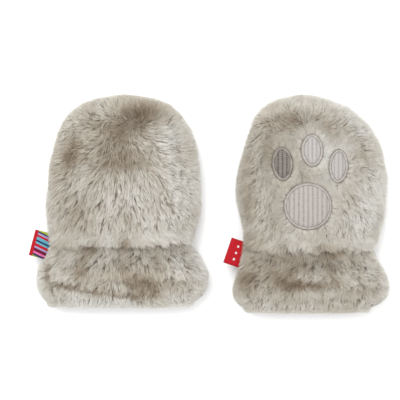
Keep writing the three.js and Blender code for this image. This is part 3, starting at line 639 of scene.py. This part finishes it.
def fur(name, mitten, s_range, c_range, clumps, each, seed, lengths=(5.2, 8.4), width=0.22, weight=None,
        lift=0.0, paler=0.0):
    """Strands of pile in clumps. Each strand is a flat, tapering blade on a bent line from its root in the
    undercoat, out and over the way it is combed, to a tip that is drawn towards its clump's tip.

    Beside a pad the strands are short, stand up and stay off it. Where the pile is soft they are short and even,
    and where it parts they are short and lie every way."""

    def off_pads(p):
        return from_pads(mitten.pads, p[:, 0], p[:, 1])

    rng = np.random.default_rng(seed)
    s0, c0 = spread(mitten, s_range, c_range, clumps, rng, weight)
    top = mitten.point(s0, c0, 0.0)
    n0 = mitten.normal(s0, c0, 0.0)
    upper_off = np.where(np.abs(c0) < 2, off_pads(top), 99)
    near_pad = np.exp(-((np.maximum(upper_off, 0) / 4.8) ** 2))
    soft = softness(mitten, s0, c0, top[:, 0], top[:, 1])
    way0, agreed = combed(mitten, top[:, 0], top[:, 1], n0)
    lean0 = rng.uniform(*lengths, clumps) * (1 - 0.25 * near_pad) * (1 - 0.4 * soft * (1 - near_pad))
    parting = 1 - step_up(0.3, 0.85, agreed)
    lean0 *= 1 - 0.45 * parting
    lift0 = rng.uniform(-0.75, 0.1, clumps) * (1 - 0.65 * soft) - 0.1 * soft + lift * rng.random(clumps)
    lift0 = lift0 * (1 - 0.8 * near_pad) + 1.2 * near_pad
    lift0 += FUZZ * step_up(1.1, 1.6, np.abs(c0)) * rng.random(clumps) ** 2
    swing = np.radians(9) * rng.standard_normal(clumps)
    way0 = way0 * np.cos(swing)[:, None] + np.cross(n0, way0) * np.sin(swing)[:, None]
    tip0 = mitten.carried(s0, c0, way0, lean0, -lift0)
    seen = top * 0.4 + tip0 * 0.6
    # paler raises a whole piece's tone; the wrist tufts use it as painted light.
    tone0 = tone_at(mitten, seen[:, 0], seen[:, 1], seen[:, 2]) + paler
    tone0 += 0.04 * (1 - 0.6 * np.maximum(near_pad, soft)) * rng.standard_normal(clumps)

    k = np.repeat(np.arange(clumps), each)
    count = clumps * each
    along, around = (np.linalg.norm(slope, axis=-1) for slope in mitten.slopes(s0, c0))
    ds, dc = (0.78 + 0.5 * soft[k]) * rng.standard_normal((2, count))
    s = np.clip(s0[k] + ds / np.maximum(along[k], 0.4), s_range[0], s_range[1])
    c = c0[k] + dc / np.maximum(around[k], 0.4)
    shallow = 1 - 0.55 * near_pad[k]
    root = mitten.point(s, c, (PILE + 0.3) * shallow)
    n = mitten.normal(s, c, 1.0)
    way = unit(way0[k] + (0.11 + 0.75 * parting[k])[:, None] * rng.standard_normal((count, 3)))
    way = unit(way - (way * n).sum(-1, keepdims=True) * n)
    lean = lean0[k] * rng.uniform(0.75, 1.1, count)
    ragged = 1 - 0.6 * np.maximum(near_pad, 0.7 * soft)
    own = mitten.carried(s, c, way, lean, -(lift0[k] + rng.uniform(-0.5, 0.25, count) * ragged[k]))
    drawn = (rng.uniform(0.35, 0.78, count) * (1 - 0.9 * soft[k]) * (1 - parting[k]))[:, None]
    tip = own * (1 - drawn) + tip0[k] * drawn
    cut_short = mitten.carried(s, c, way, 0.4 * lean, -lift0[k])
    tip = np.where((off_pads(tip) < 0.2)[:, None], cut_short, tip)
    bend = root + n * (PILE * shallow * rng.uniform(0.75, 1.0, count))[:, None] + way * (0.25 * lean)[:, None]

    under = np.abs((c + 4) % 8 - 4) > 2
    keep = (off_pads(root) > -3.2) & (off_pads(tip) > 0.2) | under
    keep &= tip[:, 2] > 0.15
    root, bend, tip, n, k = root[keep], bend[keep], tip[keep], n[keep], k[keep]
    count = len(root)

    t = STRAND_POINTS[None, :, None]
    line = root[:, None] * (1 - t) ** 2 + 2 * bend[:, None] * t * (1 - t) + tip[:, None] * t * t
    line[..., 2] = np.maximum(line[..., 2], 0.1)
    way = unit(tip - root)
    across = unit(np.cross(way, n))
    roll = (np.radians(38) * (1 - 0.6 * near_pad[k]) * rng.standard_normal(count))[:, None]
    across = across * np.cos(roll) + np.cross(way, across) * np.sin(roll)
    half = 0.5 * width * rng.uniform(0.7, 1.3, count)[:, None, None] * np.array([1.0, 0.9, 0.62])[None, :, None]
    low, high = line - across[:, None] * half, line + across[:, None] * half
    points = np.concatenate([np.stack([low, high], 2).reshape(count, -1, 3), tip[:, None]], 1)
    base = points.shape[1] * np.arange(count)[:, None]
    quads = np.concatenate([base + [0, 1, 3, 2], base + [2, 3, 5, 4]])
    tips = base + [4, 5, 6]
    flecks = 0.06 * (1 - 0.6 * np.maximum(near_pad, soft)[k]) * rng.standard_normal(count)
    tone = np.clip(tone0[k] + flecks, 0.012, 0.988)
    u = tone[:, None] + 0.008 * np.array([-1, 1, -1, 1, -1, 1, 0])
    depth = (0.6 * np.maximum(soft, 0.8 * near_pad))[k][:, None]
    v = depth + (1 - depth) * np.repeat(np.clip([*STRAND_POINTS, 1.0], 0.004, 0.996), 2)[:-1]
    uv = np.clip(np.stack([u, v], -1).reshape(-1, 2), 0, 1)
    return mesh_object(name, mitten.place(points.reshape(-1, 3)), [quads, tips], [FUR], uv, "OFBake")


SPARSE = 0.36  # the width of the strands where they are few


def dressed(mitten, seed):
    """A mitten's pelt and pile, in place of its four panels."""
    side, tip = mitten.side, mitten.tip_row
    shell = pelt(mitten)
    upper_names = ("back", "palm") if side == "left" else ("palm", "back")
    cad = [f"{side}_{n}_panel" for n in upper_names] + [f"{side}_cuff_{n}" for n in upper_names]

    def off_pads(x, up):
        return np.where(from_pads(mitten.pads, x, up) > -2.6, 1.0, 0.01)

    def by_pads(x, up):
        off = from_pads(mitten.pads, x, up)
        return step_up(-3, -1, off) * (1 - step_up(4, 9, off))

    def tufted(x, up):
        return 0.25 + 1.2 * np.maximum(waves(x, 0 * up, 13, seed), 0) ** 2

    upper, under = (-2.35, 2.35), (2.35, 5.65)
    mitt, wrist, mouth = (WRIST_ROW - 0.1, tip - 0.05), (WRIST_ROW + 0.8, WRIST_ROW + 1.5), (-1 - FURRED_INSIDE, -0.4)
    piles = [
        fur(f"{side}_mitt_pile", mitten, mitt, upper, 4330, 9, seed + 1, weight=off_pads),
        # The wrist tufts are paler by painted light, for the light on tufts that stand out over the shade of the
        # wrist's crease.
        fur(f"{side}_wrist_tufts", mitten, wrist, (-1.4, 1.4), 400, 14, seed + 5, (5.0, 15.0),
            weight=tufted, lift=2.6, paler=0.06),
        fur(f"{side}_cuff_pile", mitten, (-0.45, WRIST_ROW), upper, 2700, 9, seed + 2),
        fur(f"{side}_under_pile", mitten, (-0.4, tip - 0.05), under, 1000, 12, seed + 3, (2.5, 4.5), SPARSE),
        fur(f"{side}_mouth_pile", mitten, mouth, (-4, 4), 420, 12, seed + 4, (2.5, 4.0), SPARSE),
    ]
    if len(mitten.pads["x"]):
        nap_rows = (WRIST_ROW + 1, tip - 1)
        nap = fur(f"{side}_paw_nap", mitten, nap_rows, (-1.2, 1.2), 800, 9, seed + 6, (3.8, 6.0), weight=by_pads)
        piles.append(nap)
    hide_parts(*cad)
    for piece in [shell, *piles]:
        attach(piece, "root")
    return shell, piles


left_shell, left_piles = dressed(LEFT, 100)
right_shell, right_piles = dressed(RIGHT, 200)


# The embroidered paw


def thread_material(name, thread, groove_shade, column, row, middle):
    """Fill stitching: columns of short crosswise threads, and between them a sunken line that ties cross here and
    there.
    Its colour is darker than the threads, and the ribs grow paler towards their tops: painted shade in the grooves.

    A column's share of its width and a thread's share of its own are read from the place on the part."""
    m, nodes, links, shader = new_material(name)
    maths = sums(nodes, links)
    coords = nodes.new("ShaderNodeTexCoord")
    parts = nodes.new("ShaderNodeSeparateXYZ")
    links.new(coords.outputs["Object"], parts.inputs[0])

    across = maths("DIVIDE", maths("SUBTRACT", parts.outputs["X"], middle), column)
    share = maths("PINGPONG", across, 0.5)
    number = maths("FLOOR", maths("ADD", across, 0.5))
    slant = maths("MULTIPLY_ADD", share, 0.8, maths("MULTIPLY", number, 0.37))
    thread_at = maths("PINGPONG", maths("ADD", maths("DIVIDE", parts.outputs["Y"], row), slant), 0.5)
    offset = maths("MULTIPLY", number, 0.5)
    tie = maths("PINGPONG", maths("ADD", maths("DIVIDE", parts.outputs["Y"], 2.8 * row), offset), 0.5)
    lying = nodes.new("ShaderNodeMapping")
    lying.inputs["Scale"].default_value = (450, 1700, 450)
    links.new(coords.outputs["Object"], lying.inputs["Vector"])
    noise = nodes.new("ShaderNodeTexNoise")
    noise.inputs["Scale"].default_value = 1.0
    links.new(lying.outputs["Vector"], noise.inputs["Vector"])
    worn = maths("MULTIPLY_ADD", noise.outputs["Fac"], 1.3, -0.68)
    # Lighter towards each rib's top and darker down in the grooves between columns: painted shade.
    rib_light = maths("MULTIPLY_ADD", maths("SMOOTH_MIN", share, 0.36, 0.1), 2.4, -0.12)
    threads = maths("MULTIPLY_ADD", tie, 1.1, maths("MULTIPLY", thread_at, 0.4))
    lightness = maths("ADD", maths("ADD", rib_light, threads), worn)
    shades = ramp(nodes, [(0.12, groove_shade), (0.95, thread)])
    links.new(lightness, shades.inputs[0])
    links.new(shades.outputs["Color"], shader.inputs["Base Color"])
    raise_surface(nodes, links, shader, lightness, 0.9, 0.00012)
    surface(shader, 0.55, 0.3)
    return m


PALE_EDGE = uneven_cloth("pale_edge_thread", (0.24, 0.224, 0.208), (0.34, 0.32, 0.3), 0.002, 0.5, 0.6)
DARK_EDGE = uneven_cloth("dark_edge_thread", (0.15, 0.132, 0.115), (0.27, 0.248, 0.226), 0.004, 0.5, 0.6)
LINE_THREAD = uneven_cloth("outline_thread", (0.105, 0.088, 0.075), (0.25, 0.222, 0.2), 0.0035, 0.4, 0.6)
DARK_LINE_THREAD = uneven_cloth("dark_outline_thread", (0.055, 0.047, 0.042), (0.17, 0.15, 0.133), 0.004, 0.4, 0.6)
BORDER = 1.75  # from a pad's edge in to its fill
FILL_HIGH, FILL_DOME = 1.35, 0.4  # from the pile up to the fill, and from there up to its middle
RIBS, RIB_HIGH = (2.8, 2.6, 2.6, 2.6), 0.2  # each pad's columns of fill stitches, how wide and how high they are
THREAD_WIDE = 0.42  # along the rib
POINTED = 0.35  # how far a toe pad's fill goes from an oval to two plain arcs that meet in points


def pad_point(mitten, i, inset, angle, lift):
    """A place on pad i, this far in from its edge at this angle, this far above the pile under it."""
    wide, long = PADS["wide"][i], PADS["long"][i]
    pointed = POINTED * np.clip(inset / BORDER, 0, 1) * (wide < long)
    a = (wide - inset) * np.cos(angle) * (1 - pointed + pointed * np.abs(np.cos(angle)))
    x, up = turned(a, (long - inset) * np.sin(angle), np.radians(PADS["turn"][i]))
    x, up = PADS["x"][i] + x, PADS["up"][i] + up
    return np.stack([x, up, mitten.height(x, up) + lift], -1)


def padded_oval(mitten, i, edge_material, fill_material):
    """The pad's body: rings from a flat underside round its rim, over the border, up onto the domed and ribbed
    fill and in to its middle. Every column of the fill stands up as a rounded rib."""
    small = min(PADS["wide"][i], PADS["long"][i])
    edge_inset = [small - 0.02, small / 2, 0.35, 0.05, 0.0, 0.1, 0.5, 1.0, BORDER - 0.3, BORDER - 0.08]
    edge_lift = [0.35, 0.35, 0.35, 0.45, 0.75, 1.0, 1.15, 1.15, 1.0, 1.1]
    edge_rings = len(edge_inset)
    fill = np.concatenate([np.linspace(BORDER, small, int(small / 0.3))[:-1], [small - 0.02]])
    inset = np.concatenate([edge_inset, fill])
    lift = np.concatenate([edge_lift, np.full(len(fill), FILL_HIGH)])
    angle = np.linspace(0, 2 * np.pi, 8 * int(small) + 33)[:-1]
    p = pad_point(mitten, i, inset[:, None], angle[None, :], lift[:, None])
    raised = np.clip((inset - BORDER) / 1.2, 0, 1)[:, None]
    raised[:edge_rings] = 0
    share = 1 - (np.clip(inset, 0, small) / small)[:, None]
    rib = np.sqrt(np.abs(np.sin(np.pi * (p[..., 0] - PADS["x"][i]) / RIBS[i])))
    p[..., 2] += raised * (FILL_DOME * (1 - share**2) + RIB_HIGH * rib)
    ring = np.arange(len(angle))
    faces = grid_faces(len(inset), len(angle), closed=True)
    caps = [ring[None, ::-1], (ring + (len(inset) - 1) * len(angle))[None, :]]
    piece = mesh_object(PAD_PIECES[i], mitten.place(p.reshape(-1, 3)), [faces, *caps], [edge_material, fill_material])
    filled = np.repeat(np.arange(len(inset) - 1) >= edge_rings, len(angle))
    piece.data.polygons.foreach_set("material_index", np.concatenate([filled, [0, 1]]).astype(np.int32))
    return piece


def stitched_ring(name, mitten, i, inset, lift, thick, long, material):
    """A ring of back stitches round a pad: one tube, whose radius and height dip where each stitch ends."""
    wide, tall = PADS["wide"][i] - inset, PADS["long"][i] - inset
    stitches = int(round(np.pi * (wide + tall) / long))
    per_stitch, sides = 6, 8
    at = np.arange(stitches * per_stitch)
    angle = 2 * np.pi * at / len(at)
    full = np.abs(np.sin(np.pi * (at + 0.5) / per_stitch)) ** 0.6
    centre = pad_point(mitten, i, inset, angle, lift)
    centre[:, 2] += 0.16 * full
    way = unit(np.roll(centre, -1, 0) - np.roll(centre, 1, 0))
    side = unit(np.cross(way, [0.0, 0.0, 1.0]))
    over = np.cross(side, way)
    turn = np.linspace(0, 2 * np.pi, sides + 1)[:-1]
    radius = (thick / 2 * (0.45 + 0.55 * full))[:, None, None]
    points = centre[:, None] + radius * (side[:, None] * np.cos(turn)[:, None] + over[:, None] * np.sin(turn)[:, None])
    a = np.arange(len(at) * sides).reshape(len(at), sides)
    b, d = np.roll(a, -1, 1), np.roll(a, -1, 0)
    c = np.roll(b, -1, 0)
    faces = np.stack([a, d, c, b], -1).reshape(-1, 4)
    return mesh_object(name, mitten.place(points.reshape(-1, 3)), [faces], [material])


def paw(mitten):
    """The four pads, each with a stitched line at its edge and one round its fill."""
    # Each pad's thread colour, then a darker one for the grooves between its columns, painted shade there.
    heel = (0.3, 0.273, 0.255), (0.185, 0.163, 0.15)
    pale = (0.312, 0.295, 0.282), (0.212, 0.198, 0.189)
    dark = (0.15, 0.127, 0.113), (0.042, 0.034, 0.03)
    for i, (node, thread_and_groove_shade) in enumerate(zip(PAD_NODES, (heel, dark, pale, pale))):
        edge, line = (DARK_EDGE, DARK_LINE_THREAD) if node.endswith("toe_1") else (PALE_EDGE, LINE_THREAD)
        middle = (mitten.origin[0] + PADS["x"][i]) * MM
        fill = thread_material(f"{node}_thread", *thread_and_groove_shade, RIBS[i] * MM, THREAD_WIDE * MM, middle)
        body = padded_oval(mitten, i, edge, fill)
        outer = stitched_ring(f"{node}_outline", mitten, i, 0.2, 1.0, 0.4, 2.1, line)
        inner = stitched_ring(f"{node}_inner_line", mitten, i, BORDER - 0.12, 1.12, 0.38, 1.9, line)
        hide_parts(node)
        for piece in (body, outer, inner):
            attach(piece, "root")


paw(RIGHT)


# The folded labels


def ribbon_material(name, stripes, selvedge, slant, dots=None):
    """Woven ribbon. Its own map runs along it on u and across it on v; stripes are flat steps of colour along v.

    dots is where their row lies from the fold, their phase across, half their spacing and their radius."""
    m, nodes, links, shader = new_material(name)
    maths = sums(nodes, links)
    coords = nodes.new("ShaderNodeUVMap")
    coords.uv_map = "UVMap"
    parts = nodes.new("ShaderNodeSeparateXYZ")
    links.new(coords.outputs["UV"], parts.inputs[0])

    u, v = parts.outputs["X"], parts.outputs["Y"]
    from_fold = maths("ABSOLUTE", maths("SUBTRACT", u, 0.5))
    colours = ramp(nodes, stripes)
    colours.color_ramp.interpolation = "CONSTANT"
    links.new(maths("FRACT", maths("MULTIPLY_ADD", from_fold, slant, v)), colours.inputs[0])
    colour = colours.outputs["Color"]
    if dots:
        row, phase, half_step, radius = dots
        gap_u = maths("MULTIPLY", maths("SUBTRACT", from_fold, row), 1.9)
        gap_v = maths("PINGPONG", maths("SUBTRACT", v, phase), half_step)
        far = maths("SQRT", maths("ADD", maths("POWER", gap_u, 2), maths("POWER", gap_v, 2)))
        inside = maths("LESS_THAN", maths("ABSOLUTE", maths("SUBTRACT", v, 0.5)), 0.4)
        on_dot = maths("MULTIPLY", maths("LESS_THAN", far, radius), inside)
        colour = mixed(nodes, links, "MIX", on_dot, colour, (*WHITE, 1))
    colour = mixed(nodes, links, "MIX", maths("LESS_THAN", from_fold, 0.085), colour, (*selvedge, 1))
    threads = maths("PINGPONG", maths("MULTIPLY", u, 90), 0.5)
    picks = maths("PINGPONG", maths("MULTIPLY", v, 44), 0.5)
    woven = maths("MULTIPLY", maths("ADD", threads, 0.5), maths("ADD", picks, 0.5))
    # Darker between the threads and picks of the weave: painted shade in the weave's hollows.
    weave_shade = ramp(nodes, [(0.2, (0.45, 0.45, 0.45)), (0.7, (1, 1, 1))])
    links.new(woven, weave_shade.inputs[0])
    colour = mixed(nodes, links, "MULTIPLY", 0.55, colour, weave_shade.outputs["Color"])
    links.new(colour, shader.inputs["Base Color"])
    raise_surface(nodes, links, shader, woven, 0.7, 0.0001)
    surface(shader, 0.7, 0.15)
    return m


RIBBON_WIDE, RIBBON_ROOT = 15.8, 4.2  # across it, and in the seam
RIBBON_HIGH, RIBBON_THICK, RIBBON_BOW = 2.6, 0.55, 0.25  # over both plies, one of them, and the upper one's bow


def folded_label(mitten, row, tilt, out, material):
    """A ribbon carried along a hairpin path, out from the side seam, round its fold and back, as a thin closed
    shell. The upper ply bows up a little."""
    rooted = mitten.edge(np.array(float(row)), np.array(0.0))
    radius = (RIBBON_HIGH - RIBBON_THICK) / 2
    long = out + RIBBON_ROOT - RIBBON_HIGH / 2
    straight = np.linspace(0, 1, 16)
    fold = np.linspace(0, np.pi, 13)[1:-1]
    x = np.concatenate([-long * straight, -long - radius * np.sin(fold), -long * straight[::-1]])
    bowed = radius + RIBBON_BOW * np.sin(np.pi * straight)
    z = np.concatenate([bowed, radius * np.cos(fold), np.full(len(straight), -radius)])
    line = np.stack([x, z], -1)
    way = unit(np.gradient(line, axis=0))
    out_way = np.stack([way[:, 1], -way[:, 0]], -1)
    across = np.linspace(-0.5, 0.5, 13) * RIBBON_WIDE
    shells = []
    for lift in (RIBBON_THICK / 2, -RIBBON_THICK / 2):
        q = line + out_way * lift
        shells.append(np.stack(np.broadcast_arrays(q[:, None, 0], across[None, :], q[:, None, 1]), -1))
    n, w = len(line), len(across)
    points = np.concatenate([p.reshape(-1, 3) for p in shells])
    x, y = turned(points[:, 0], points[:, 1], np.radians(-tilt))
    points = np.stack([x, y, points[:, 2]], -1) + [rooted[0] + RIBBON_ROOT, rooted[1], SEAM_HEIGHT]
    outside = grid_faces(n, w)
    inside = grid_faces(n, w, n * w)[:, ::-1]
    rim = np.concatenate([
        np.arange(w), np.arange(1, n) * w + w - 1, (n - 1) * w + np.arange(w - 1)[::-1], np.arange(1, n - 1)[::-1] * w,
    ])
    after = np.roll(rim, -1)
    walls = np.stack([rim, rim + n * w, after + n * w, after], -1)
    run = np.concatenate([[0], np.cumsum(np.linalg.norm(np.diff(line, axis=0), axis=-1))])
    u = np.repeat(0.005 + 0.99 * run / run[-1], w)
    v = np.tile(np.linspace(0.005, 0.995, w), n)
    uv = np.tile(np.stack([u, v], -1), (2, 1))
    piece = mesh_object(f"{mitten.side}_folded_label", mitten.place(points), [outside, inside, walls], [material], uv)
    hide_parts(f"{mitten.side}_label")
    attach(piece, "root")
    return piece


NAVY, SKY, RED, PINK = (0.010, 0.024, 0.07), (0.085, 0.28, 0.36), (0.34, 0.003, 0.009), (0.50, 0.10, 0.24)
LILAC, LIME, WHITE, PLUM = (0.26, 0.225, 0.37), (0.29, 0.35, 0.022), (0.55, 0.55, 0.55), (0.11, 0.002, 0.025)
STRIPES = [
    (0.0, LIME), (0.09, NAVY), (0.17, PINK), (0.25, PLUM), (0.37, LILAC), (0.44, RED), (0.54, SKY), (0.61, NAVY),
    (0.68, SKY), (0.79, RED), (0.87, LILAC), (0.94, NAVY),
]
striped = ribbon_material("striped_ribbon", STRIPES, RED, 0.35)
red = ribbon_material("red_ribbon", [(0.0, RED), (0.5, RED)], (0.36, 0.005, 0.012), 0.0, (0.22, 0.25, 0.125, 0.045))
label = folded_label(LEFT, WRIST_ROW - 0.45, 15, 10, striped)
label = folded_label(RIGHT, WRIST_ROW - 0.75, 19, 8.4, red)


# Floor, light and camera

floor_material = uneven_cloth("pale_table", (0.88, 0.88, 0.88), (0.9, 0.9, 0.9), 0.05, 0.0, 0.9)
FLOOR_HALF = 3.0  # metres
floor_points = np.array([[-1, -1, 0], [1, -1, 0], [1, 1, 0], [-1, 1, 0]]) * FLOOR_HALF
floor = mesh_object("table", floor_points, [[[0, 1, 2, 3]]], [floor_material])


def area_light(name, place, size, power):
    """A round, soft light that faces the origin."""
    light = bpy.data.lights.new(name, "AREA")
    light.shape, light.size, light.energy = "DISK", size, power
    lamp = bpy.data.objects.new(name, light)
    lamp.location = place
    lamp.rotation_euler = (-Vector(place)).to_track_quat("-Z", "Y").to_euler()
    bpy.context.scene.collection.objects.link(lamp)


area_light("key", (-0.5, 0.7, 1.7), 1.3, 30)
area_light("fill", (0.9, -0.3, 1.6), 1.3, 12)
world = bpy.data.worlds.new("studio")
bpy.context.scene.world = world
world.use_nodes = True
background = world.node_tree.nodes["Background"]
background.inputs["Color"].default_value = (1, 1, 1, 1)
background.inputs["Strength"].default_value = 1.0
bpy.context.scene.view_settings.view_transform = "Standard"

PHOTO_WIDE = 240.0  # millimetres across the photo, at the height of the mittens' outline
CAMERA_HEIGHT = 1500.0
SENSOR_WIDE = 36.0
camera = bpy.data.cameras.new("camera")
camera.sensor_width = SENSOR_WIDE
camera.lens = SENSOR_WIDE * CAMERA_HEIGHT / PHOTO_WIDE
viewer = bpy.data.objects.new("camera", camera)
viewer.location = (-5.4 * MM, 2.4 * MM, (SEAM_HEIGHT + CAMERA_HEIGHT) * MM)
bpy.context.scene.collection.objects.link(viewer)
bpy.context.scene.camera = viewer
